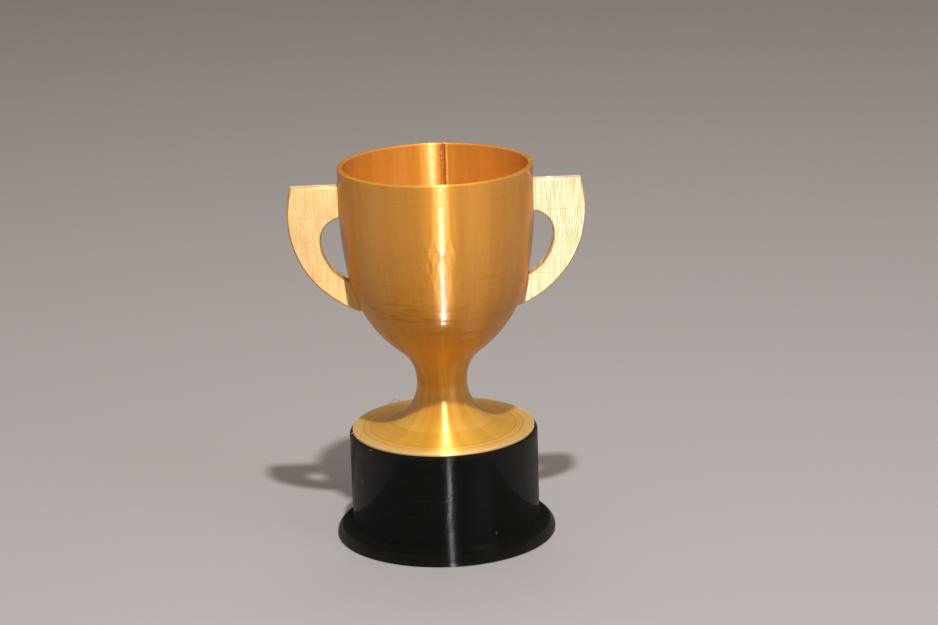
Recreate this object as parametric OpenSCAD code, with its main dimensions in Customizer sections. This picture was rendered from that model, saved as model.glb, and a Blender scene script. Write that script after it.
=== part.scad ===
// Two-handled cup trophy: a gold bowl with two flat handles on a flared stem,
// bolted down to a black round base. Millimetres, +Z up. The origin is on the
// trophy's axis, at the underside of the base. The handles lie along X, and the
// front of the cup faces -Y.

/* [Base] */
// Radius of the base's upright side
base_r = 36.8; // [34:0.2:40]
// Height of the base
base_h = 42; // [34:1:50]
// Bevel round the base's top edge
base_bevel = 1.1; // [0.4:0.1:2]
// Radius of the flange that the base stands on
flange_r = 43; // [40:0.5:48]
// Height of the flange's upright edge
flange_edge_h = 0.8; // [0.4:0.1:2]
// Height at which the flange's rounded shoulder meets the base's side
shoulder_z = 5.2; // [4:0.1:8]

/* [Stem] */
// Radius of the disc at the foot of the stem
foot_r = 35.6; // [32:0.1:35.8]
// Thickness of that disc
foot_t = 1.2; // [1:0.1:2]
// Radius at which the stem's flare levels out on the disc
flare_r = 30; // [26:0.5:32]
// Height of the flare, from the disc up to the neck
flare_h = 17.8; // [15:0.1:22]
// Radius of the neck, the narrowest place
neck_r = 9.8; // [9:0.1:12]
// Length of the neck's straight stretch
neck_h = 1; // [0.8:0.1:3]

/* [Bowl] */
// Radius of the hollow curve that leads from the neck out to the belly
cove_r = 16; // [14:0.5:18]
// Slope of the bowl where that curve ends, in degrees from upright
cove_end = 52.5; // [48:0.5:55]
// Radius of the belly's curve, seen from the side
belly_r = 50; // [46:1:52]
// Slope of the bowl where the belly ends, in degrees from upright
belly_end = 11; // [9:0.5:13]
// Radius of the curve that brings the bowl's side upright
side_r = 150; // [120:5:170]
// Height of the rim
rim_z = 148; // [144:1:156]
// Thickness of the bowl's wall
wall = 2; // [1.8:0.1:2.4]
// Depth of solid material from the bowl's floor down to the neck
floor_depth = 10.5; // [10:0.5:13]

/* [Handles] */
// Thickness of the flat handles
handle_t = 5; // [4:0.2:7]
// Bevel along the handles' edges
handle_bevel = 0.7; // [0.3:0.1:1]
// Drop from the rim to the handles' flat top
handle_drop = 7.2; // [6:0.2:9]
// Depth of the bar along the top of the handle
handle_bar = 12.1; // [11:0.2:13]
// Radius of the handle's outer curve
handle_r = 40.4; // [39:0.2:42]
// Distance from the axis to that curve's centre
handle_x = 16.9; // [16:0.1:18]
// Drop from the handle's top to that curve's centre
handle_centre_drop = 11.8; // [11:0.2:13]
// Radius of the finger gap's upper outer corner
gap_corner_r = 9; // [7:0.5:10]
// Radius of the finger gap's lower curve
gap_r = 18.2; // [17:0.1:19]
// Farthest reach of the finger gap from the axis
gap_reach = 44.6; // [43:0.1:46]

/* [Fixing] */
// Nominal size of the bolt
bolt_d = 5; // [5, 6]
// Length of the bolt under its head
bolt_len = 60; // [55:1:62]
// Depth of the bolt-head recess under the base
recess_depth = 9; // [8.5:0.5:10]
// Length of the brass threaded insert
insert_len = 9.5; // [8:0.5:10]

/* [Hidden] */
$fn = 128;

fit = 0.1;                                  // play round a part pushed into another
eps = 0.01;                                 // overrun of a cutting shape
foot_z = base_h + foot_t;                   // top of the foot disc
neck_z = foot_z + flare_h;                  // lower end of the neck
cove_z = neck_z + neck_h;                   // upper end of the neck
split_z = neck_z + neck_h / 2;              // where bowl and stem meet
floor_z = split_z + floor_depth;            // floor inside the bowl
handle_z = rim_z - handle_drop;             // flat top of the handles
gap_z = handle_z - handle_bar;              // flat top of the finger gap

// Centres of the bowl's three curves, each tangent to the one before
cove_x = neck_r + cove_r;
belly_x = cove_x - (cove_r + belly_r) * cos(cove_end);
belly_z = cove_z + (cove_r + belly_r) * sin(cove_end);
side_x = belly_x + (belly_r - side_r) * cos(belly_end);
side_z = belly_z - (belly_r - side_r) * sin(belly_end);
bowl_r = side_x + side_r;                   // outer radius at the rim
floor_slope = asin((belly_z - floor_z) / (belly_r - wall));

// Spigots: the bowl's goes into the stem, and the stem's goes into the base
bowl_spigot_r = 6.5;
bowl_spigot_len = 6;
stem_spigot_r = 12;
stem_spigot_len = 3;

// Tongues on each handle and the pockets for them in the bowl's wall
tongue_t = 2.6;
tongue_depth = 1.2;
tongue_h = 7.5;
upper_tongue_z = gap_z + handle_bar / 2;
lower_tongue_z = handle_z - 43.3;
root_x = 20;                                // inner end of a handle before it is cut to the bowl

// Bolt, washer and insert
bolt_r = bolt_d / 2;
bolt_room = 1;                              // empty length past the bolt's end
head_r = 0.85 * bolt_d;
head_h = bolt_d;
washer_t = 1;
washer_r = bolt_d;
washer_play = 0.15;
bolt_z = recess_depth - washer_t;           // underside of the bolt's head
recess_r = washer_r + 1.5;
clear_r = bolt_r + 0.25;
thread_play = 0.05;
insert_wall = 1;
insert_r = bolt_r + insert_wall;
insert_z = split_z - bowl_spigot_len;
groove_depth = 0.4;

// Points along an arc about [x, z], from angle a to angle b
function arc(x, z, rx, rz, a, b, n) =
    [for (i = [0:n]) let (t = a + (b - a) * i / n) [x + rx * cos(t), z + rz * sin(t)]];

// The bowl's side from slope a up to the rim, set in from the outside by inset
function bowl_side(inset, a) = concat(
    arc(belly_x, belly_z, belly_r - inset, belly_r - inset, -a, -belly_end, 20),
    arc(side_x, side_z, side_r - inset, side_r - inset, -belly_end, 0, 10)
);

// The whole outside of the bowl as a solid of revolution, set in by inset
module bowl_outside(inset = 0) {
    cove = arc(cove_x, cove_z, cove_r + inset, cove_r + inset, 180, 180 - cove_end, 10);
    side = bowl_side(inset, cove_end);
    rotate_extrude()
        polygon(concat([[0, split_z], [neck_r - inset, split_z]], cove, side,
                       [[bowl_r - inset, rim_z], [0, rim_z]]));
}

module bowl_inside() {
    rotate_extrude()
        polygon(concat([[0, floor_z]], bowl_side(wall, floor_slope),
                       [[bowl_r - wall, rim_z + eps], [0, rim_z + eps]]));
}

// A block for each of the handle's two tongues, grown by extra on every side
module tongue_blocks(extra = 0) {
    for (z = [upper_tongue_z, lower_tongue_z])
        translate([root_x, -tongue_t / 2 - extra, z - tongue_h / 2 - extra])
            cube([bowl_r, tongue_t + 2 * extra, tongue_h + 2 * extra]);
}

// A disc on its edge in the XZ plane, its rim bevelled in (c > 0) or flared out (c < 0)
module edge_disc(x, z, r, c) {
    h = handle_t / 2 + (c < 0 ? eps : 0);
    k = abs(c);
    translate([x, 0, z])
        rotate([90, 0, 0])
            rotate_extrude()
                polygon([[0, -h], [r - c, -h], [r, k - h], [r, h - k], [r - c, h], [0, h]]);
}

// A bar along X with a level top at z, its top edges bevelled in or flared out as above
module edge_bar(x0, x1, z0, z, c) {
    h = handle_t / 2 + (c < 0 ? eps : 0);
    k = abs(c);
    translate([x0, 0, 0])
        rotate([90, 0, 90])
            linear_extrude(x1 - x0)
                polygon([[-h, z0], [h, z0], [h, z - c], [h - k, z], [k - h, z], [-h, z - c]]);
}

module finger_gap() {
    corner_x = gap_reach - gap_corner_r;
    corner_z = gap_z - gap_corner_r;
    edge_disc(corner_x, corner_z, gap_corner_r, -handle_bevel);
    edge_bar(0, corner_x, corner_z, gap_z, -handle_bevel);
    intersection() {
        edge_disc(gap_reach - gap_r, corner_z, gap_r, -handle_bevel);
        translate([0, -handle_t, corner_z - 2 * gap_r])
            cube([2 * gap_reach, 2 * handle_t, 2 * gap_r]);
    }
}

// The handle on the +X side
module handle() {
    difference() {
        intersection() {
            edge_disc(handle_x, handle_z - handle_centre_drop, handle_r, handle_bevel);
            edge_bar(root_x, 2 * handle_r, split_z, handle_z, handle_bevel);
        }
        finger_gap();
        difference() {
            bowl_outside();
            tongue_blocks();
        }
        bowl_outside(tongue_depth);
    }
}

module base() {
    shoulder = arc(base_r, flange_edge_h, flange_r - base_r, shoulder_z - flange_edge_h,
                   0, 90, 10);
    color([0.08, 0.08, 0.07])
        difference() {
            rotate_extrude()
                polygon(concat([[0, 0], [flange_r, 0]], shoulder,
                               [[base_r, base_h - base_bevel],
                                [base_r - base_bevel, base_h], [0, base_h]]));
            translate([0, 0, -eps])
                cylinder(r = recess_r, h = recess_depth + eps);
            cylinder(r = clear_r, h = base_h);
            translate([0, 0, base_h - stem_spigot_len - fit])
                cylinder(r = stem_spigot_r + fit, h = stem_spigot_len + fit + eps);
        }
}

module stem() {
    flare = arc(flare_r, neck_z, flare_r - neck_r, flare_h, 270, 180, 24);
    color([0.85, 0.6, 0.25])
        difference() {
            rotate_extrude()
                polygon(concat([[0, base_h - stem_spigot_len],
                                [stem_spigot_r, base_h - stem_spigot_len],
                                [stem_spigot_r, base_h], [foot_r, base_h],
                                [foot_r, foot_z]], flare,
                               [[neck_r, split_z], [0, split_z]]));
            cylinder(r = clear_r, h = rim_z);
            translate([0, 0, insert_z - fit])
                cylinder(r = bowl_spigot_r + fit, h = bowl_spigot_len + fit + eps);
        }
}

module bowl() {
    color([0.85, 0.6, 0.25])
        difference() {
            union() {
                bowl_outside();
                translate([0, 0, insert_z])
                    cylinder(r = bowl_spigot_r, h = bowl_spigot_len + neck_h / 2);
            }
            bowl_inside();
            translate([0, 0, insert_z - eps])
                cylinder(r = insert_r, h = insert_len + eps);
            cylinder(r = clear_r, h = bolt_z + bolt_len + bolt_room);
            for (side = [0, 180])
                rotate([0, 0, side])
                    difference() {
                        tongue_blocks(fit);
                        bowl_outside(tongue_depth + fit);
                    }
        }
}

module left_handle() {
    color([0.95, 0.75, 0.4])
        rotate([0, 0, 180])
            handle();
}

module right_handle() {
    color([0.95, 0.75, 0.4])
        handle();
}

// Socket-head bolt, up through the base and the stem into the bowl
module centre_bolt() {
    color([0.6, 0.6, 0.62])
        difference() {
            union() {
                translate([0, 0, bolt_z - head_h])
                    cylinder(r = head_r, h = head_h);
                cylinder(r = bolt_r - thread_play, h = bolt_z + bolt_len);
            }
            translate([0, 0, -eps])
                cylinder(r = washer_r, h = bolt_z - head_h + eps);
            translate([0, 0, bolt_z - head_h - eps])
                cylinder(d = 0.9 * bolt_d, h = head_h / 2, $fn = 6);
        }
}

module bolt_washer() {
    color([0.7, 0.7, 0.72])
        translate([0, 0, bolt_z])
            difference() {
                cylinder(r = washer_r, h = washer_t);
                translate([0, 0, -eps])
                    cylinder(r = bolt_r + washer_play, h = washer_t + 2 * eps);
            }
}

// Heat-set insert in the bowl's spigot, with a groove round its middle
module threaded_insert() {
    groove = insert_len / 3;
    color([0.8, 0.65, 0.3])
        difference() {
            translate([0, 0, insert_z])
                cylinder(r = insert_r, h = insert_len);
            translate([0, 0, insert_z + groove])
                difference() {
                    cylinder(r = insert_r + insert_wall, h = groove);
                    cylinder(r = insert_r - groove_depth, h = groove);
                }
            cylinder(r = bolt_r, h = rim_z);
        }
}

base();
stem();
bowl();
left_handle();
right_handle();
centre_bolt();
bolt_washer();
threaded_insert();
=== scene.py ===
"""Looks for the cup trophy: silk-gold printed cup with two slab handles on a black printed base."""
import math

import bpy
import numpy as np
from mathutils import Matrix, Vector


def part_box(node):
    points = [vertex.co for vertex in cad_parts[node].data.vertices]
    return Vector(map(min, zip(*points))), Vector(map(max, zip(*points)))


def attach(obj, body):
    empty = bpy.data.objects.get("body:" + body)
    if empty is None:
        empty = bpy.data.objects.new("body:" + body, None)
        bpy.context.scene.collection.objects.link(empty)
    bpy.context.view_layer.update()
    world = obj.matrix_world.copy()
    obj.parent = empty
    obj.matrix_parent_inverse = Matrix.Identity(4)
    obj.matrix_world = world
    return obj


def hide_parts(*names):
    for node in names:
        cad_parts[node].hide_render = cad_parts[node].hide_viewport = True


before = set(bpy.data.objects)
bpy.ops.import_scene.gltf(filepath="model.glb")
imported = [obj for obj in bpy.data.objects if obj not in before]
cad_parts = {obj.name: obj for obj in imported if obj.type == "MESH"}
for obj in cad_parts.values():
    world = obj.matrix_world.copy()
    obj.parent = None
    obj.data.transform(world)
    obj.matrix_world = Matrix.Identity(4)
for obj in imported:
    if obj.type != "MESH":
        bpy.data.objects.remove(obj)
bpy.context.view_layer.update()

MM = 0.001

# ---------------------------------------------------------------- sizes, in metres

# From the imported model
RIM_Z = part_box("bowl")[1].z
BOWL_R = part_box("bowl")[1].x
STEM_SPIGOT_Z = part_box("stem")[0].z
BASE_H = STEM_SPIGOT_Z + 3 * MM             # the spigot's length
FOOT_Z = BASE_H + 1.2 * MM                  # the foot disc's thickness
FOOT_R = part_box("stem")[1].x
SPLIT_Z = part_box("stem")[1].z
FLANGE_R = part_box("base")[1].y
INSERT_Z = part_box("threaded_insert")[0].z
INSERT_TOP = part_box("threaded_insert")[1].z
HANDLE_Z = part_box("right_handle")[1].z
HANDLE_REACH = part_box("right_handle")[1].x
HANDLE_T = 2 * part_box("right_handle")[1].y

# Marks of the print
BELLY_LINE_Z = RIM_Z - 54 * MM              # a faint line round the belly
SEAM_ANGLE = math.radians(82.7)             # where the layers start, seen down the inside
RIM_END_ANGLE = math.radians(3)             # where the last layer ends in a lump
ROUGH_FADE = (96 * MM, 120 * MM)            # the rough lines on the belly fade out upwards
ROUGH_START = (78 * MM, 86 * MM)            # and don't reach the neck
COVE_FADE = (66 * MM, 88 * MM)              # the neck's bands and tone fade out upwards
RING_FADES = (((27.5 * MM, 28.5 * MM), 0.4), ((30 * MM, 31 * MM), 0.6))
RING_LINES = (28.4 * MM, 31.2 * MM)         # thin dark circles in the pale ring round the foot

# The curves of the turned pieces, as in the part
LAYER = 0.2 * MM
WALL = 2 * MM
NECK_R = 9.8 * MM
COVE_R = 16 * MM
COVE_END = math.radians(52.5)
BELLY_R = 50 * MM
BELLY_END = math.radians(11)
SIDE_R = 150 * MM
FLOOR_Z = SPLIT_Z + 10.5 * MM
FLARE_R = 30 * MM
NECK_Z = SPLIT_Z - 0.5 * MM
BASE_R = 36.8 * MM
BASE_BEVEL = 1.1 * MM
SPIGOT_R = 6.5 * MM                         # of the bowl, in the stem
STEM_SPIGOT_R = 12 * MM                     # of the stem, in the base
SPIGOT_PLAY = 0.1 * MM
RECESS_R = 6.5 * MM                         # under the base, for the bolt's head
RECESS_DEPTH = 9 * MM
BOLT_CLEAR_R = 2.75 * MM
BOLT_CLEAR_Z = 69 * MM                      # top of the bolt's hole, in the bowl
INSERT_R = 3.5 * MM
FLANGE_EDGE = 0.8 * MM
SHOULDER_Z = 5.2 * MM

# The handles' outline, as in the part
HANDLE_R = 40.4 * MM
HANDLE_X = HANDLE_REACH - HANDLE_R
HANDLE_ARC_Z = HANDLE_Z - 11.8 * MM
GAP_Z = HANDLE_Z - 12.1 * MM
GAP_LOW = HANDLE_Z - 37 * MM
GAP_REACH = 44.6 * MM
GAP_CORNER_R = 9 * MM
GAP_R = 18.2 * MM

# ---------------------------------------------------------------- mesh helpers


def arc(cx, cz, rx, rz, start, end, count):
    """Points [r, z] along an ellipse's arc, angles in radians."""
    t = np.linspace(start, end, count)
    return np.stack([cx + rx * np.cos(t), cz + rz * np.sin(t)], 1)


def line(a, b, count):
    """Points from a to b, both included."""
    return np.linspace(a, b, count)


def path(*runs):
    """Joins runs of points and drops points that repeat."""
    points = np.concatenate([np.atleast_2d(np.array(run, float)) for run in runs])
    step = np.linalg.norm(np.diff(points, axis=0), axis=1)
    return points[np.concatenate([[True], step > 1e-7])]


def new_piece(name, verts, faces, material, node, sharp=40):
    """A mesh piece that replaces a CAD node, on the root body. Faces with over four sides are flat."""
    mesh = bpy.data.meshes.new(name)
    mesh.from_pydata([tuple(v) for v in verts], [], faces)
    mesh.validate()
    mesh.shade_smooth()
    mesh.set_sharp_from_angle(angle=math.radians(sharp))
    for face in mesh.polygons:
        face.use_smooth = len(face.vertices) <= 4
    mesh.materials.append(material)
    piece = bpy.data.objects.new(name, mesh)
    bpy.context.scene.collection.objects.link(piece)
    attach(piece, "root")
    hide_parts(node)
    return piece


def lathe(profile, angles, shape=None, closed=False):
    """Turns a profile [r, z] round Z. Radius 0 makes a pole. shape(r, z, angle) may move points."""
    rows, verts = [], []
    for r, z in profile:
        if r < 1e-9:
            rows.append([len(verts)] * len(angles))
            verts.append((0.0, 0.0, z))
            continue
        rows.append(list(range(len(verts), len(verts) + len(angles))))
        for a in angles:
            rr, zz = shape(r, z, a) if shape else (r, z)
            verts.append((rr * math.cos(a), rr * math.sin(a), zz))
    pairs = list(zip(rows, rows[1:] + ([rows[0]] if closed else [])))
    faces = []
    for low, high in pairs[:len(rows) if closed else len(rows) - 1]:
        for i in range(len(angles)):
            j = (i + 1) % len(angles)
            quad = [low[i], low[j], high[j], high[i]]
            ring = [v for k, v in enumerate(quad) if v != quad[k - 1]]
            if len(ring) > 2:
                faces.append(ring)
    return verts, faces


def tube(points, radius, sides=6):
    """A thin closed tube through points: a hair or a strand of plastic."""
    points = [Vector(p) for p in points]
    verts, faces = [], []
    for i, p in enumerate(points):
        along = (points[min(i + 1, len(points) - 1)] - points[max(i - 1, 0)]).normalized()
        across = along.orthogonal().normalized()
        other = along.cross(across)
        for k in range(sides):
            t = 2 * math.pi * k / sides
            verts.append(p + radius * (math.cos(t) * across + math.sin(t) * other))
    for i in range(len(points) - 1):
        for k in range(sides):
            a, b = i * sides + k, i * sides + (k + 1) % sides
            faces.append([a, b, b + sides, a + sides])
    faces.append(list(range(sides))[::-1])
    faces.append(list(range((len(points) - 1) * sides, len(points) * sides)))
    return verts, faces


def join(*parts):
    """Puts several (verts, faces) pairs in one."""
    verts, faces = [], []
    for v, f in parts:
        faces += [[k + len(verts) for k in face] for face in f]
        verts += [tuple(p) for p in v]
    return verts, faces


def even_angles(count):
    """Angles for a lathe, in radians, evenly all the way round."""
    return [2 * math.pi * k / count for k in range(count)]


# ---------------------------------------------------------------- materials


class Nodes:
    """Builds one procedural material, with short names for the nodes it needs."""

    def __init__(self, name, **constants):
        self.material = bpy.data.materials.new(name)
        self.material.use_nodes = True
        self.tree = self.material.node_tree
        self.shader = self.tree.nodes["Principled BSDF"]
        for socket, value in constants.items():
            self.shader.inputs[socket.replace("_", " ")].default_value = value
        place = self.add("ShaderNodeTexCoord").outputs["Object"]
        split = self.add("ShaderNodeSeparateXYZ", Vector=place)
        self.place = place
        self.x, self.y, self.z = split.outputs

    def add(self, kind, settings=None, **inputs):
        """A new node, with its properties set and its inputs fed by name."""
        node = self.tree.nodes.new(kind)
        for key, value in (settings or {}).items():
            setattr(node, key, value)
        for key, value in inputs.items():
            self.feed(node.inputs[key], value)
        return node

    def feed(self, socket, value):
        """Links a node's output to an input socket, or sets the socket to a plain value."""
        if isinstance(value, bpy.types.NodeSocket):
            self.tree.links.new(value, socket)
        else:
            socket.default_value = value

    def math(self, op, a, b=0.0, c=0.0):
        node = self.add("ShaderNodeMath", {"operation": op})
        for socket, value in zip(node.inputs, (a, b, c)):
            self.feed(socket, value)
        return node.outputs[0]

    def step(self, value, low, high):
        """0 below low, 1 above high, smooth between."""
        node = self.add("ShaderNodeMapRange", {"interpolation_type": "SMOOTHSTEP"},
                        Value=value)
        node.inputs["From Min"].default_value = low
        node.inputs["From Max"].default_value = high
        return node.outputs["Result"]

    def noise(self, size, stretch=(1, 1, 1), detail=2.0, place=None):
        """Noise of about the given grain size in metres, drawn out along an axis by stretch."""
        scaled = self.add("ShaderNodeVectorMath", {"operation": "DIVIDE"})
        self.feed(scaled.inputs[0], place or self.place)
        scaled.inputs[1].default_value = [size * s for s in stretch]
        node = self.add("ShaderNodeTexNoise", Vector=scaled.outputs[0])
        node.inputs["Scale"].default_value = 1.0
        node.inputs["Detail"].default_value = detail
        return node.outputs["Fac"]

    def vector(self, x, y, z):
        node = self.add("ShaderNodeCombineXYZ", X=x, Y=y, Z=z)
        return node.outputs[0]

    def radius(self):
        """Distance from the trophy's axis."""
        square = self.math("ADD", self.math("MULTIPLY", self.x, self.x),
                           self.math("MULTIPLY", self.y, self.y))
        return self.math("SQRT", square)

    def spokes(self, width, reach):
        """Noise in bands that run up and down a turned piece, of a width in metres at that reach."""
        flat = self.vectors("NORMALIZE", self.vector(self.x, self.y, 0.0))
        level = self.vector(0.0, 0.0, self.math("MULTIPLY", self.z, 0.4))
        place = self.vectors("ADD", self.vectors("SCALE", flat, scale=reach), level)
        return self.noise(width, (1, 1, 12), 2, place)

    def wave(self, value, pitch):
        """A sine from -1 to 1 along value, one turn for each pitch."""
        return self.math("SINE", self.math("MULTIPLY", value, 2 * math.pi / pitch))

    def band(self, value, centre, width):
        """1 within width of centre, 0 beyond twice that."""
        away = self.math("ABSOLUTE", self.math("SUBTRACT", value, centre))
        return self.math("SUBTRACT", 1.0, self.step(away, width, 2 * width))

    def total(self, *terms):
        """Sum of (value, weight) pairs."""
        result = 0.0
        for value, weight in terms:
            result = self.math("MULTIPLY_ADD", value, weight, result)
        return result

    def blend(self, factor, a, b):
        """Mixes two colours: a at factor 0, b at factor 1."""
        node = self.add("ShaderNodeMix", {"data_type": "RGBA"})
        self.feed(node.inputs[0], factor)
        self.feed(node.inputs[6], a)
        self.feed(node.inputs[7], b)
        return node.outputs[2]

    def bump(self, height, depth, normal=None):
        """Bumps the surface by height times depth, in metres."""
        node = self.add("ShaderNodeBump", Height=height, Distance=depth)
        if normal:
            self.feed(node.inputs["Normal"], normal)
        return node.outputs["Normal"]

    def across_layers(self, around, tilt):
        """Leans the normal up or down by tilt, where around is the direction that a layer runs in."""
        normal = self.add("ShaderNodeNewGeometry").outputs["Normal"]
        run = self.vectors("NORMALIZE", around)
        lean = self.vectors("SCALE", self.vectors("CROSS_PRODUCT", normal, run), scale=tilt)
        return self.vectors("NORMALIZE", self.vectors("ADD", normal, lean))

    def facing_out(self):
        """Positive on surfaces that face away from the trophy's axis, negative on those that face it."""
        node = self.add("ShaderNodeVectorMath", {"operation": "DOT_PRODUCT"})
        self.feed(node.inputs[0], self.add("ShaderNodeNewGeometry").outputs["Normal"])
        self.feed(node.inputs[1], self.vector(self.x, self.y, 0.0))
        return node.outputs["Value"]

    def vectors(self, op, a, b=None, scale=None):
        node = self.add("ShaderNodeVectorMath", {"operation": op})
        self.feed(node.inputs[0], a)
        if b:
            self.feed(node.inputs[1], b)
        if scale:
            self.feed(node.inputs["Scale"], scale)
        return node.outputs[0]

    def upright_grain(self):
        """Turns the shader's anisotropy so that highlights run up and down, across the layers."""
        tangent = self.add("ShaderNodeTangent", {"direction_type": "RADIAL", "axis": "Z"})
        self.feed(self.shader.inputs["Tangent"], tangent.outputs[0])
        self.shader.inputs["Anisotropic Rotation"].default_value = 0.25

    def set(self, **inputs):
        """Feeds the shader's inputs, with _ for a space in their names, and gives the material."""
        for key, value in inputs.items():
            self.feed(self.shader.inputs[key.replace("_", " ")], value)
        return self.material


# Silk plastic: a saturated body, a pale wide sheen from its flakes, and a clear glossy surface
GOLD = dict(Metallic=0.5, IOR=1.35, Anisotropic=1.0, Specular_Tint=(1.0, 0.80, 0.36, 1),
            Coat_Weight=1.0, Coat_Roughness=0.15, Coat_IOR=1.65)
GOLD_LIGHT = (0.83, 0.365, 0.034, 1)
GOLD_DEEP = (0.73, 0.26, 0.015, 1)
GOLD_PALE = (0.91, 0.62, 0.23, 1)
GOLD_YELLOW = (0.78, 0.50, 0.06, 1)
# Painted shade for the groove of the seam down the inside of the bowl
SEAM_PAINTED_SHADE = (0.36, 0.12, 0.015, 1)


def layer_lines(n, along, size):
    """Uneven lines, from -1 to 1, that follow the printed layers. along grows from layer to layer."""
    fine = n.noise(size, (1, 1, 1), 1, n.vector(0.0, 0.0, along))
    return n.math("MULTIPLY_ADD", fine, 4.0, -2.0)


def layer_edges(n, along, lines):
    """How far each layer's rounded edge leans, over and over from layer to layer."""
    lean = n.wave(n.math("MULTIPLY_ADD", lines, 0.3 * LAYER, along), LAYER)
    bulge = n.noise(0.9 * MM, (1, 1, 1), 1, n.vector(0.0, 0.0, along))
    return n.math("MULTIPLY", lean, n.math("MULTIPLY_ADD", bulge, 3.2, 0.2))


def turned_surface(n, slope, amount, edges=1.0):
    """Layer lines on a turned piece. slope is the sign of its profile: 1 where it widens upwards.

    amount is how far the flakes lean, and edges how far the layers' rounded edges do.
    """
    along = n.math("MULTIPLY_ADD", n.radius(), slope, n.z)
    lines = layer_lines(n, along, 0.30 * MM)
    around = n.vector(n.math("MULTIPLY", n.y, -1.0), n.x, 0.0)
    flakes = n.across_layers(around, n.math("MULTIPLY", lines, amount))
    gloss = n.across_layers(around, n.math("MULTIPLY", layer_edges(n, along, lines), edges))
    return along, lines, flakes, gloss


def neck_bands(n):
    """Upright bands on the neck, which run on from the bowl down the stem."""
    return n.spokes(2.4 * MM, 12 * MM)


def print_echoes(n):
    """Upright ridges that bend out and back over the height of the finger gaps."""
    middle = (GAP_Z + GAP_LOW) / 2
    away = n.math("ABSOLUTE", n.math("SUBTRACT", n.z, middle))
    height = n.math("MAXIMUM", n.math("SUBTRACT", (GAP_Z - GAP_LOW) / 2, away), 0.0)
    lean = n.math("MULTIPLY", height, 0.35)
    strength = n.math("MULTIPLY_ADD", n.step(height, 0.0, 5 * MM), 0.8, 0.2)
    ridges = [n.noise(2.2 * MM, (1, 1, 30), 1, n.vector(n.math(turn, n.x, lean), n.y, n.z))
              for turn in ("ADD", "SUBTRACT")]
    return n.math("MULTIPLY", n.math("ADD", *ridges), strength)


def inner_seam(n):
    """1 along the ragged seam down the inside of the bowl."""
    turn = n.math("SUBTRACT", n.math("ARCTAN2", n.y, n.x), SEAM_ANGLE)
    wander = n.noise(1.1 * MM, (1, 1, 1), 2, n.vector(0.0, 0.0, n.z))
    aside = n.math("MULTIPLY", n.math("SUBTRACT", wander, 0.5), MM)
    across = n.math("MULTIPLY_ADD", turn, BOWL_R, aside)
    inside = n.math("LESS_THAN", n.facing_out(), 0.0)
    return n.math("MULTIPLY", n.band(across, 0.0, 0.36 * MM), inside)


def bowl_gold():
    """The bowl: layers round the axis, rough lines low on the belly, and upright echoes of the print."""
    n = Nodes("silk_gold_bowl", **GOLD)
    along, lines, normal, gloss = turned_surface(n, 1.0, 0.15)
    coarse = n.noise(1.2 * MM, (1, 1, 1), 2, n.vector(0.0, 0.0, along))
    patches = n.noise(7 * MM, (1, 1, 0.5), 2)
    low = n.math("SUBTRACT", 1.0, n.step(n.z, *ROUGH_FADE))
    cuts = n.noise(0.8 * MM, (24, 24, 1), 2)
    cuts = n.math("MULTIPLY", n.step(cuts, 0.56, 0.66), n.math("MULTIPLY_ADD", low, 0.9, 0.1))
    cuts = n.math("MULTIPLY", cuts, n.step(patches, 0.4, 0.6))
    cuts = n.math("MULTIPLY", cuts, n.step(n.z, *ROUGH_START))
    cove = n.math("SUBTRACT", 1.0, n.step(n.z, *COVE_FADE))
    neck = neck_bands(n)
    seam_line = n.band(n.z, BELLY_LINE_Z, 0.12 * MM)
    wide = n.spokes(5 * MM, BOWL_R)
    narrow = n.spokes(1.0 * MM, BOWL_R)
    grain = n.noise(0.25 * MM)
    echoes = print_echoes(n)
    tone = n.total((coarse, 0.35), (wide, 0.45), (narrow, 0.25), (cuts, -0.7), (seam_line, -0.5))
    colour = n.blend(n.step(tone, 0.2, 0.75), GOLD_DEEP, GOLD_LIGHT)
    bands = n.blend(n.step(neck, 0.3, 0.65), GOLD_DEEP, GOLD_LIGHT)
    colour = n.blend(cove, colour, n.blend(0.3, bands, GOLD_YELLOW))
    # Painted shade: the seam's groove is darkened to stand in for the shade in its recess
    colour = n.blend(n.math("MULTIPLY", inner_seam(n), 0.8), colour, SEAM_PAINTED_SHADE)
    normal = n.bump(wide, 0.16 * MM, normal)
    normal = n.bump(n.math("MULTIPLY", neck, cove), 0.25 * MM, normal)
    normal = n.bump(n.total((echoes, 1.0), (narrow, 0.15)), 0.15 * MM, normal)
    normal = n.bump(n.total((coarse, 0.4), (cuts, -1.5), (seam_line, -1.0)), 0.012 * MM, normal)
    gloss = n.bump(n.total((echoes, 1.0), (narrow, 0.1)), 0.04 * MM, gloss)
    gloss = n.bump(cuts, -0.014 * MM, gloss)
    gloss = n.bump(grain, 0.002 * MM, gloss)
    n.upright_grain()
    rough = n.total((grain, 0.08), (coarse, 0.04), (1.0, 0.40))
    n.set(Coat_Weight=n.total((cuts, -0.7), (n.math("MULTIPLY", low, coarse), -0.7), (1.0, 1.0)))
    return n.set(Base_Color=colour, Normal=normal, Coat_Normal=gloss, Roughness=rough)


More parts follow.
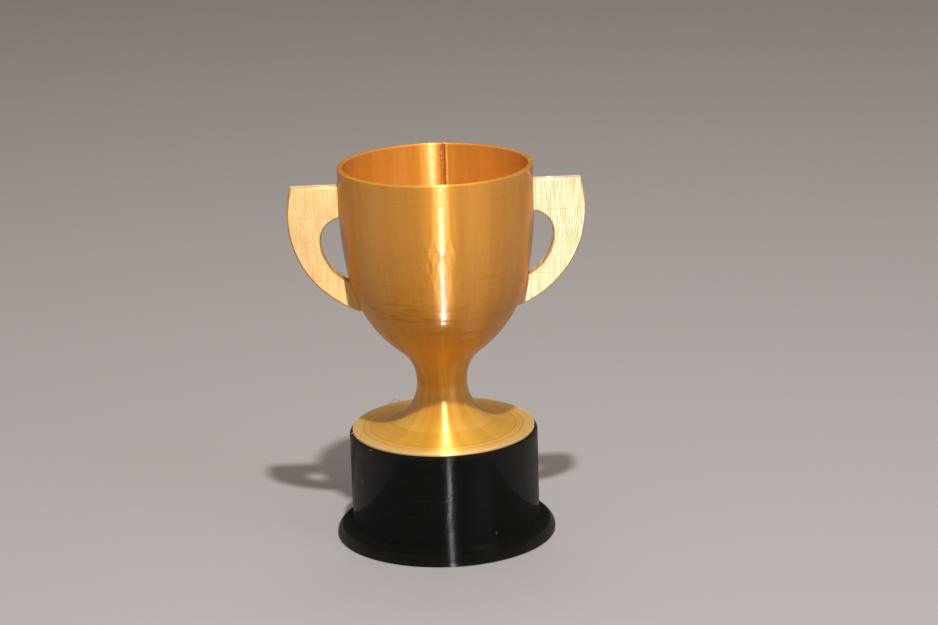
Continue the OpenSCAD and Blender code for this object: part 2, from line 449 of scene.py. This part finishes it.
def stem_gold():
    """The stem: smooth upright bands on the neck and flare, a pale grainy ring round the foot, and a
    painted highlight along the foot's outer edge.
    """
    n = Nodes("silk_gold_stem", **GOLD)
    _, lines, normal, gloss = turned_surface(n, -1.0, 0.10, 0.3)
    radius = n.radius()
    ring = n.total(*[(n.step(radius, *fade), weight) for fade, weight in RING_FADES])
    # Painted highlight: the foot's outer edge is made pale, where its rounded lip would catch the key
    # lamp
    edge = n.step(radius, FOOT_R - 0.6 * MM, FOOT_R - 0.3 * MM)
    wide = neck_bands(n)
    neck = n.math("SUBTRACT", 1.0, n.step(radius, NECK_R + 1 * MM, NECK_R + 10 * MM))
    circles = n.math("MAXIMUM", *[n.band(radius, at, 0.25 * MM) for at in RING_LINES])
    loops = n.wave(n.math("MULTIPLY_ADD", n.noise(6 * MM), 0.3 * MM, radius), 0.42 * MM)
    loops = n.math("MULTIPLY", loops, ring)
    grain = n.noise(0.32 * MM, (1, 1, 1), 3)
    crumbs = n.math("MULTIPLY", n.step(grain, 0.5, 0.7), ring)
    tone = n.total((wide, 1.0), (lines, 0.02), (loops, 0.05))
    colour = n.blend(n.step(tone, 0.3, 0.65), GOLD_DEEP, GOLD_LIGHT)
    colour = n.blend(n.math("MULTIPLY_ADD", neck, -0.3, 0.6), colour, GOLD_YELLOW)
    # pale includes the painted highlight on the foot's outer edge
    pale = n.total((ring, 0.42), (crumbs, 0.8), (edge, 0.6), (loops, 0.12), (circles, -0.6))
    colour = n.blend(pale, colour, GOLD_PALE)
    colour = n.blend(n.math("MULTIPLY", circles, 0.5), colour, GOLD_DEEP)
    normal = n.bump(wide, n.math("MULTIPLY_ADD", neck, 0.23 * MM, 0.02 * MM), normal)
    normal = n.bump(n.total((loops, 0.35), (crumbs, 1.0), (circles, -1.5)), 0.03 * MM, normal)
    gloss = n.bump(n.total((crumbs, 1.0), (grain, 0.10)), 0.010 * MM, gloss)
    n.upright_grain()
    rough = n.total((crumbs, 0.08), (lines, 0.01), (neck, -0.06), (1.0, 0.50))
    return n.set(Base_Color=colour, Normal=normal, Coat_Normal=gloss, Roughness=rough)


def handle_gold(name, pale):
    """Handles: layers along Z, and echoes of the outer curve in rows across the flat faces. pale is the
    face's lightest colour, given per handle as painted light and shade: lighter on the right handle,
    darker on the left, as the key lamp falls on them.
    """
    n = Nodes(name, **GOLD | dict(Coat_Roughness=0.20, Coat_Weight=0.8))
    along = n.math("MULTIPLY_ADD", n.y, 0.7, n.z)
    lines = layer_lines(n, along, 0.30 * MM)
    normal = n.across_layers((1.0, 0.0, 0.0), n.math("MULTIPLY", lines, 0.12))
    side = n.math("ABSOLUTE", n.x)
    drop = n.math("SUBTRACT", n.z, HANDLE_ARC_Z)
    square = n.math("SUBTRACT", HANDLE_R ** 2, n.math("MULTIPLY", drop, drop))
    edge = n.math("ADD", HANDLE_X, n.math("SQRT", n.math("MAXIMUM", square, 0.0)))
    inward = n.math("SUBTRACT", edge, side)
    wobble = n.noise(4 * MM, (1, 1, 1), 2)
    curved = n.wave(n.math("MULTIPLY_ADD", wobble, 0.7 * MM, inward), 0.95 * MM)
    straight = n.wave(n.math("MULTIPLY_ADD", wobble, 0.5 * MM, side), 0.7 * MM)
    above = n.step(n.z, GAP_Z + 0.1 * MM, GAP_Z + 0.4 * MM)
    echo = n.math("ADD", n.math("MULTIPLY", straight, above),
                  n.math("MULTIPLY", curved, n.math("SUBTRACT", 1.0, above)))
    marks = n.math("MAXIMUM", n.band(n.z, GAP_Z + 0.2 * MM, 0.10 * MM),
                   n.band(n.z, GAP_LOW, 0.10 * MM))
    streak = n.noise(0.8 * MM, (1, 1, 14), 2)
    grain = n.noise(0.3 * MM)
    tone = n.total((streak, 0.6), (echo, 0.13), (lines, 0.03), (marks, -0.12))
    # pale carries this handle's painted light (right handle) or painted shade (left handle)
    colour = n.blend(n.step(tone, 0.0, 0.5), GOLD_DEEP, pale)
    relief = n.total((echo, 0.6), (streak, 0.7), (marks, -0.25))
    normal = n.bump(relief, 0.016 * MM, normal)
    gloss = n.across_layers((1.0, 0.0, 0.0), layer_edges(n, along, lines))
    gloss = n.bump(relief, 0.016 * MM, gloss)
    gloss = n.bump(grain, 0.010 * MM, gloss)
    n.upright_grain()
    rough = n.total((grain, 0.10), (streak, 0.08), (1.0, 0.30))
    return n.set(Base_Color=colour, Normal=normal, Coat_Normal=gloss, Roughness=rough)


def base_black():
    """Black print: glossy layer lines, fine sparkle where the layers catch light, and a little dust."""
    n = Nodes("black_print", Specular_IOR_Level=0.0, Coat_Roughness=0.115, Coat_IOR=1.38)
    _, lines, normal, gloss = turned_surface(n, -1.0, 0.3)
    grain = n.noise(0.2 * MM)
    upright = n.noise(0.7 * MM, (1, 1, 60), 2)
    speckle = n.step(n.noise(0.28 * MM, (1, 1, 1.5), 1), 0.42, 0.66)
    cells = n.add("ShaderNodeTexVoronoi", Vector=n.place)
    cells.inputs["Scale"].default_value = 1 / (9 * MM)
    dust = n.math("LESS_THAN", cells.outputs["Distance"], 0.02)
    colour = n.blend(n.step(lines, -1.0, 1.0), (0.0025, 0.0022, 0.0016, 1), (0.005, 0.0044, 0.0034, 1))
    colour = n.blend(dust, colour, (0.5, 0.48, 0.45, 1))
    gloss = n.bump(upright, 0.005 * MM, gloss)
    gloss = n.bump(grain, 0.002 * MM, gloss)
    rough = n.total((grain, 0.2), (lines, 0.02), (1.0, 0.35))
    n.set(Coat_Weight=n.total((speckle, 0.45), (1.0, 0.35)))
    return n.set(Base_Color=colour, Normal=normal, Coat_Normal=gloss, Roughness=rough)


def turned_metal(name, colour, pitch):
    """Steel or brass with fine turning marks."""
    n = Nodes(name, Metallic=1.0)
    marks = n.wave(n.z, pitch)
    grain = n.noise(0.4 * MM)
    dull = tuple(0.7 * c for c in colour[:3]) + (1,)
    shade = n.blend(n.step(grain, 0.35, 0.7), dull, colour)
    normal = n.bump(n.total((marks, 0.5), (grain, 1.0)), 0.01 * MM)
    return n.set(Base_Color=shade, Normal=normal, Roughness=n.total((grain, 0.2), (1.0, 0.22)))


# ---------------------------------------------------------------- pieces

# Centres of the bowl's curves
COVE_Z = NECK_Z + 1 * MM
COVE_X = NECK_R + COVE_R
BELLY_X = COVE_X - (COVE_R + BELLY_R) * math.cos(COVE_END)
BELLY_Z = COVE_Z + (COVE_R + BELLY_R) * math.sin(COVE_END)
SIDE_X = BELLY_X + (BELLY_R - SIDE_R) * math.cos(BELLY_END)
SIDE_Z = BELLY_Z - (BELLY_R - SIDE_R) * math.sin(BELLY_END)

SEAM_REACH = 2.2 * MM                       # how far either way the seam shapes the bowl's inside
RIM_DROP = 0.25 * MM                        # the rim's level, below its highest bump

# Angle in degrees and length in millimetres of each hair on the foot's edge
FOOT_HAIRS = ((190, 3.4), (193, 2.6), (199, 3.0), (204, 2.2), (208, 1.6), (117, 3.2), (123, 2.0))


def bowl_radius(z):
    """The bowl's outer radius at height z."""
    if z > SIDE_Z:
        return SIDE_X + SIDE_R
    cx, cz, radius = BELLY_X, BELLY_Z, BELLY_R
    if z > SIDE_Z - SIDE_R * math.sin(BELLY_END):
        cx, cz, radius = SIDE_X, SIDE_Z, SIDE_R
    return cx + math.sqrt(radius ** 2 - (z - cz) ** 2)


def bowl_side(inset, start, low_count, high_count):
    """The bowl's side from slope start up to where it is upright."""
    low_r, high_r = BELLY_R - inset, SIDE_R - inset
    return path(arc(BELLY_X, BELLY_Z, low_r, low_r, -start, -BELLY_END, low_count),
                arc(SIDE_X, SIDE_Z, high_r, high_r, -BELLY_END, 0, high_count))


def bowl_profile():
    """The bowl's outline, from the bolt's hole in its spigot, up the outside and down the inside."""
    rim_z = RIM_Z - RIM_DROP
    out_r = SIDE_X + SIDE_R
    in_r = out_r - WALL
    ease = 0.3 * MM
    floor_slope = math.asin((BELLY_Z - FLOOR_Z) / (BELLY_R - WALL))
    return path(
        [[0, BOLT_CLEAR_Z], [BOLT_CLEAR_R, BOLT_CLEAR_Z], [BOLT_CLEAR_R, INSERT_TOP],
         [INSERT_R, INSERT_TOP], [INSERT_R, INSERT_Z], [SPIGOT_R, INSERT_Z], [SPIGOT_R, SPLIT_Z],
         [NECK_R, SPLIT_Z]],
        arc(COVE_X, COVE_Z, COVE_R, COVE_R, math.pi, math.pi - COVE_END, 14),
        bowl_side(0, COVE_END, 26, 20),
        line([out_r, SIDE_Z], [out_r, rim_z - ease], 10),
        arc(out_r - ease, rim_z - ease, ease, ease, 0, math.pi / 2, 4),
        arc(in_r + ease, rim_z - ease, ease, ease, math.pi / 2, math.pi, 4),
        line([in_r, rim_z - ease], [in_r, SIDE_Z], 56),
        bowl_side(WALL, floor_slope, 60, 90)[::-1],
        [[0, FLOOR_Z]],
    )


def bowl_shape(rng):
    """The print's seam down the inside, and the small lumps on the rim where layers end."""
    rough = rng.normal(0, 1, (4, 400))
    # Angle, and width and height in millimetres
    lumps = ((SEAM_ANGLE, 0.35, 0.15), (RIM_END_ANGLE, 0.75, 0.25))
    rim_z = RIM_Z - RIM_DROP

    def wander(k, z):
        return float(np.interp(z / (0.6 * MM), np.arange(400), rough[k]))

    def bead(across, k, z):
        """A row of beads beside the groove, of uneven size and spacing."""
        middle = (0.82 + 0.12 * wander(k, z)) * MM
        return max(0.0, 0.16 + 0.18 * wander(k + 1, z)) * MM * math.exp(
            -((across - middle) / (0.28 * MM)) ** 2)

    def shape(r, z, a):
        across = (a - SEAM_ANGLE) * r
        if abs(across) < SEAM_REACH and z > FLOOR_Z + WALL and r < bowl_radius(z) - 0.6 * WALL:
            r += 0.30 * MM * math.exp(-(across / (0.42 * MM)) ** 4)
            r -= bead(across, 0, z) + bead(-across, 2, z)
        if z > rim_z - 0.5 * MM:
            for centre, width, height in lumps:
                turn = (a - centre + math.pi) % (2 * math.pi) - math.pi
                z += height * MM * math.exp(-(turn * r / (width * MM)) ** 2)
        return r, z

    return shape


def make_bowl(gold):
    """The bowl, with closely set angles where the seam and the rim's lump are."""
    fine = np.linspace(-1, 1, 31) * SEAM_REACH / BOWL_R + SEAM_ANGLE
    lump = np.linspace(-1, 1, 9) * 1.8 * MM / BOWL_R + RIM_END_ANGLE
    angles = [a for a in even_angles(200)
              if not fine[0] <= a <= fine[-1] and not lump[0] <= a <= lump[-1]]
    angles = sorted(angles + list(fine) + list(lump))
    verts, faces = lathe(bowl_profile(), angles, bowl_shape(np.random.default_rng(5)))
    return new_piece("bowl_print", verts, faces, gold, "bowl")


def layer_step(r, z):
    """The rounded edge of one printed layer, from its foot up."""
    return [[r, z], [r - 0.03 * MM, z + 0.6 * LAYER], [r - 0.10 * MM, z + LAYER]]


def stem_profile():
    """The stem with its flare, which is nearly level at its foot, so its lowest layers show as steps."""
    flare_h = NECK_Z - FOOT_Z
    steps = 14

    def flare(z):
        return FLARE_R - (FLARE_R - NECK_R) * math.sqrt(1 - ((NECK_Z - z) / flare_h) ** 2)

    stairs = []
    for k in range(steps):
        z = FOOT_Z + k * LAYER
        stairs += layer_step(flare(z) if k else FLARE_R, z)
    top = math.asin((NECK_Z - FOOT_Z - steps * LAYER) / flare_h)
    lip = 0.2 * MM
    edge = 0.4 * MM
    socket_r = SPIGOT_R + SPIGOT_PLAY
    socket_z = INSERT_Z - SPIGOT_PLAY
    return path(
        [[socket_r, SPLIT_Z], [socket_r, socket_z], [BOLT_CLEAR_R, socket_z],
         [BOLT_CLEAR_R, STEM_SPIGOT_Z], [STEM_SPIGOT_R, STEM_SPIGOT_Z], [STEM_SPIGOT_R, BASE_H],
         [FOOT_R - lip, BASE_H], [FOOT_R, BASE_H + lip]],
        arc(FOOT_R - edge, FOOT_Z - edge, edge, edge, 0, math.pi / 2, 5),
        line([FOOT_R - 0.5 * MM, FOOT_Z], [FLARE_R, FOOT_Z], 8),
        stairs,
        arc(FLARE_R, NECK_Z, FLARE_R - NECK_R, flare_h, math.pi + top, math.pi, 40),
        [[NECK_R, SPLIT_Z]],
    )


def foot_hairs(rng):
    """Fine hairs of plastic that the print left on the foot's edge."""
    hairs = []
    for angle, length in FOOT_HAIRS:
        a = math.radians(angle)
        out = Vector((math.cos(a), math.sin(a), 0))
        along = Vector((-math.sin(a), math.cos(a), 0))
        start = out * (FOOT_R - 0.3 * MM) + Vector((0, 0, FOOT_Z - 0.2 * MM))
        bend, curl, way = (float(v) for v in rng.uniform(-1, 1, 3))
        points = []
        for k in range(9):
            t = k / 8
            forward = 0.45 * t * out
            aside = math.copysign(0.8 * t + 0.25 * bend * t * t, way) * along
            rise = Vector((0, 0, 0.45 * math.sin(2.4 * t) * (0.6 + 0.4 * curl)))
            points.append(start + length * MM * (forward + aside + rise))
        hairs.append(tube(points, 0.11 * MM, 5))
    return hairs


def make_stem(gold):
    """The stem with its foot disc and hairs."""
    verts, faces = lathe(stem_profile(), even_angles(240), closed=True)
    verts, faces = join((verts, faces), *foot_hairs(np.random.default_rng(11)))
    return new_piece("stem_print", verts, faces, gold, "stem")


def base_profile():
    """The base. The flange's shoulder is nearly level next to the side, so its layers show as steps."""
    shoulder_h = SHOULDER_Z - FLANGE_EDGE
    steps = 6
    turn = math.asin(1 - steps * LAYER / shoulder_h)

    def shoulder(z):
        return BASE_R + (FLANGE_R - BASE_R) * math.sqrt(1 - ((z - FLANGE_EDGE) / shoulder_h) ** 2)

    stairs = []
    for k in range(steps, 0, -1):
        z = SHOULDER_Z - k * LAYER
        stairs += layer_step(shoulder(z), z)
    ease = 0.25 * MM
    socket_r = STEM_SPIGOT_R + SPIGOT_PLAY
    socket_z = STEM_SPIGOT_Z - SPIGOT_PLAY
    return path(
        [[RECESS_R, 0], [RECESS_R, RECESS_DEPTH], [BOLT_CLEAR_R, RECESS_DEPTH],
         [BOLT_CLEAR_R, socket_z], [socket_r, socket_z], [socket_r, BASE_H]],
        [[BASE_R - BASE_BEVEL - ease, BASE_H]],
        arc(BASE_R - BASE_BEVEL, BASE_H - BASE_BEVEL, BASE_BEVEL, BASE_BEVEL,
            math.pi / 2, 0, 7),
        line([BASE_R, BASE_H - BASE_BEVEL], [BASE_R, SHOULDER_Z], 12),
        stairs[::-1],
        arc(BASE_R, FLANGE_EDGE, FLANGE_R - BASE_R, shoulder_h, turn, 0, 14),
        [[FLANGE_R, ease], [FLANGE_R - ease, 0]],
    )[::-1]


def make_base(black):
    """The black base with its flange."""
    verts, faces = lathe(base_profile(), even_angles(240), closed=True)
    return new_piece("base_print", verts, faces, black, "base")


def handle_outline():
    """The handle's outline in X and Z, clockwise from the top of its root, on the +X side."""
    root = 0.9 * MM                         # how far the handle reaches into the bowl's wall
    corner_x = GAP_REACH - GAP_CORNER_R
    corner_z = GAP_Z - GAP_CORNER_R
    gap_x = GAP_REACH - GAP_R
    top_turn = math.asin((HANDLE_Z - HANDLE_ARC_Z) / HANDLE_R)
    low_turn = math.radians(-69.5)
    gap_turn = math.radians(-64)
    outer = arc(HANDLE_X, HANDLE_ARC_Z, HANDLE_R, HANDLE_R, top_turn, low_turn, 60)
    lower = arc(gap_x, corner_z, GAP_R, GAP_R, gap_turn, 0, 34)
    root_turn = math.acos((bowl_radius(GAP_Z) - root - corner_x) / GAP_CORNER_R)
    corner = arc(corner_x, corner_z, GAP_CORNER_R, GAP_CORNER_R, 0, root_turn, 20)
    root_low = [[bowl_radius(z) - root, z] for z in np.linspace(outer[-1][1], lower[0][1], 8)]
    return path([[bowl_radius(HANDLE_Z) - root, HANDLE_Z]], outer, root_low, lower, corner)


def slab(outline, thickness, radius, rings=5):
    """A flat plate of the given outline in X and Z, with rounded edges."""
    before = outline - np.roll(outline, 1, 0)
    after = np.roll(outline, -1, 0) - outline
    unit = [d / np.linalg.norm(d, axis=1)[:, None] for d in (before, after)]
    inward = [np.stack([d[:, 1], -d[:, 0]], 1) for d in unit]
    turn = (inward[0] * inward[1]).sum(1)
    offset = (inward[0] + inward[1]) / (1 + turn)[:, None]
    rows = []
    for side in (-1, 1):
        turns = np.linspace(0, math.pi / 2, rings + 1)
        for t in (turns[::-1] if side < 0 else turns):
            flat = outline + offset * radius * (1 - math.cos(t))
            level = side * (thickness / 2 - radius + radius * math.sin(t))
            rows.append([(x, level, z) for x, z in flat])
    count = len(outline)
    verts = [p for row in rows for p in row]
    faces = []
    for k in range(len(rows) - 1):
        for i in range(count):
            j = (i + 1) % count
            a, b = k * count, (k + 1) * count
            faces.append([a + i, a + j, b + j, b + i])
    faces.append(list(range(count))[::-1])
    faces.append(list(range((len(rows) - 1) * count, len(rows) * count)))
    return verts, faces


def sagging_strands(rng):
    """Strands that sagged under the bar, where the print bridged the top of the finger gap."""
    strands = []
    start = bowl_radius(GAP_Z) - 0.6 * MM
    for k in range(6):
        y = (k / 5 - 0.5) * 0.76 * HANDLE_T
        reach = float(rng.uniform(3.6, 6.0)) * MM
        sag = float(rng.uniform(0.10, 0.55)) * MM
        points = []
        for j in range(10):
            t = j / 9
            drop = sag * math.sin(math.pi * t) ** 0.8 + 0.2 * MM * t
            points.append(Vector((start + reach * t, y + 0.15 * MM * math.sin(5 * t),
                                  GAP_Z + 0.12 * MM - drop)))
        strands.append(tube(points, 0.21 * MM, 6))
    return strands


def make_handle(name, side, gold, seed):
    """A handle with its strands, on the +X side for side 1 and on the -X side for side -1."""
    verts, faces = join(slab(handle_outline(), HANDLE_T, 0.75 * MM),
                        *sagging_strands(np.random.default_rng(seed)))
    if side < 0:
        verts = [(-x, -y, z) for x, y, z in verts]
    return new_piece(name + "_print", verts, faces, gold, name, 50)


# ---------------------------------------------------------------- stage, lights and camera


def pale_floor():
    """A plain pale floor, which is stage and not part of the trophy."""
    size = 4.0
    mesh = bpy.data.meshes.new("floor")
    mesh.from_pydata([(-size, -size, 0), (size, -size, 0), (size, size, 0), (-size, size, 0)],
                     [], [[0, 1, 2, 3]])
    n = Nodes("pale_floor", Roughness=0.9)
    colour = n.blend(n.noise(0.9 * MM), (0.245, 0.234, 0.238, 1), (0.29, 0.276, 0.281, 1))
    mesh.materials.append(n.set(Base_Color=colour))
    floor = bpy.data.objects.new("floor", mesh)
    bpy.context.scene.collection.objects.link(floor)


def direction(azimuth, elevation):
    """A unit vector towards a place seen from the trophy: azimuth 0 is the front, +90 its right."""
    a, e = math.radians(azimuth), math.radians(elevation)
    return Vector((math.sin(a) * math.cos(e), -math.cos(a) * math.cos(e), math.sin(e)))


def lamp(name, azimuth, elevation, distance, size, watts, colour=(1, 1, 1)):
    """A round lamp that shines on the trophy from that direction."""
    data = bpy.data.lights.new(name, "AREA")
    data.shape = "DISK"
    data.size = size
    data.energy = watts
    data.color = colour
    light = bpy.data.objects.new(name, data)
    bpy.context.scene.collection.objects.link(light)
    back = direction(azimuth, elevation)
    light.location = Vector((0, 0, 0.08)) + distance * back
    light.rotation_euler = back.to_track_quat("Z", "Y").to_euler()


def dim_world():
    """Soft light from above that fades to a dim horizon."""
    world = bpy.data.worlds.new("studio")
    world.use_nodes = True
    tree = world.node_tree
    place = tree.nodes.new("ShaderNodeTexCoord")
    split = tree.nodes.new("ShaderNodeSeparateXYZ")
    ramp = tree.nodes.new("ShaderNodeMapRange")
    ramp.interpolation_type = "SMOOTHSTEP"
    ramp.inputs["From Max"].default_value = 0.8
    ramp.inputs["To Min"].default_value = 0.03
    ramp.inputs["To Max"].default_value = 0.57
    tree.links.new(place.outputs["Generated"], split.inputs[0])
    tree.links.new(split.outputs["Z"], ramp.inputs["Value"])
    background = tree.nodes["Background"]
    background.inputs["Color"].default_value = (1.0, 0.88, 0.78, 1)
    tree.links.new(ramp.outputs["Result"], background.inputs["Strength"])
    bpy.context.scene.world = world


def studio():
    """A small hard key lamp, a wide fill, and a soft lamp from behind for the top of the foot."""
    dim_world()
    lamp("key", 6, 61, 1.2, 0.055, 19, (1.0, 0.98, 0.95))
    lamp("fill", 50, 40, 1.6, 0.8, 3.5)
    lamp("back", 178, 65, 1.5, 0.6, 4, (1.0, 0.88, 0.70))
    bpy.context.scene.view_settings.view_transform = "Standard"


def camera():
    """The view: a little above the trophy, with a long lens, slightly rolled."""
    azimuth, elevation, distance = -1.5, 20.5, 1.081
    pitch, pan, roll = math.radians(15.99), math.radians(0.64), math.radians(-1.72)
    data = bpy.data.cameras.new("camera")
    data.sensor_width = 36
    data.lens = 104.4
    data.clip_start = 0.01
    data.clip_end = 50
    view = bpy.data.objects.new("camera", data)
    bpy.context.scene.collection.objects.link(view)
    turn = Matrix.Rotation(math.radians(azimuth) - pan, 4, "Z")
    tip = Matrix.Rotation(math.pi / 2 - pitch, 4, "X")
    view.matrix_world = (Matrix.Translation(distance * direction(azimuth, elevation))
                         @ turn @ tip @ Matrix.Rotation(roll, 4, "Z"))
    bpy.context.scene.camera = view


# ---------------------------------------------------------------- the scene

camera()
studio()
pale_floor()

# One handle material in two copies: painted light on the right handle, painted shade on the left
right_gold_painted_light = handle_gold("silk_gold_right_painted_light", (0.92, 0.76, 0.50, 1))
left_gold_painted_shade = handle_gold("silk_gold_left_painted_shade", (0.77, 0.55, 0.22, 1))
make_bowl(bowl_gold())
make_stem(stem_gold())
make_base(base_black())
make_handle("right_handle", 1, right_gold_painted_light, 3)
make_handle("left_handle", -1, left_gold_painted_shade, 4)

steel = turned_metal("zinc_steel", (0.62, 0.62, 0.64, 1), 0.25 * MM)
brass = turned_metal("insert_brass", (0.78, 0.58, 0.28, 1), 0.3 * MM)
for node, metal in (("centre_bolt", steel), ("bolt_washer", steel), ("threaded_insert", brass)):
    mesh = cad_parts[node].data
    mesh.materials.clear()
    mesh.materials.append(metal)
